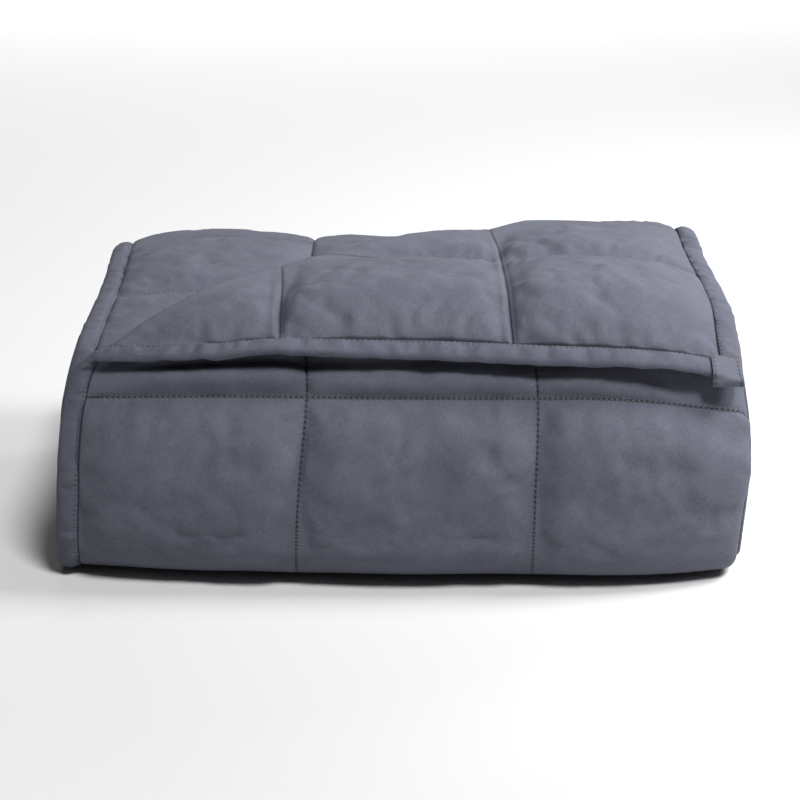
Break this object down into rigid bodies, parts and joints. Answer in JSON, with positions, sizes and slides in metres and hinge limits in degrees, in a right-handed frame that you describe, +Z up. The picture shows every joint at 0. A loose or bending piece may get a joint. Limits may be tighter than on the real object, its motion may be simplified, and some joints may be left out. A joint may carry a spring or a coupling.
{
  "type": "folded weighted blanket",
  "caption": "Quilted weighted blanket folded into a neat stack, with a bound edge, its top corner turned over and a tape loop at that corner.",
  "frame": {"origin": "centre of the bounding box in X and Y, at the surface the blanket lies on", "axes": "+X to the right along the long side, -Y to the front with the overhanging bound edge, +Z up"},
  "size_m": [0.4548, 0.3684, 0.1936],
  "materials": {
    "quilt": "matte",
    "edge_binding": "matte",
    "corner_loop": "matte"
  },
  "bodies": {
    "root": {"quilt": "quilt", "edge_binding": "edge_binding", "corner_loop": "corner_loop"}
  },
  "joints": []
}
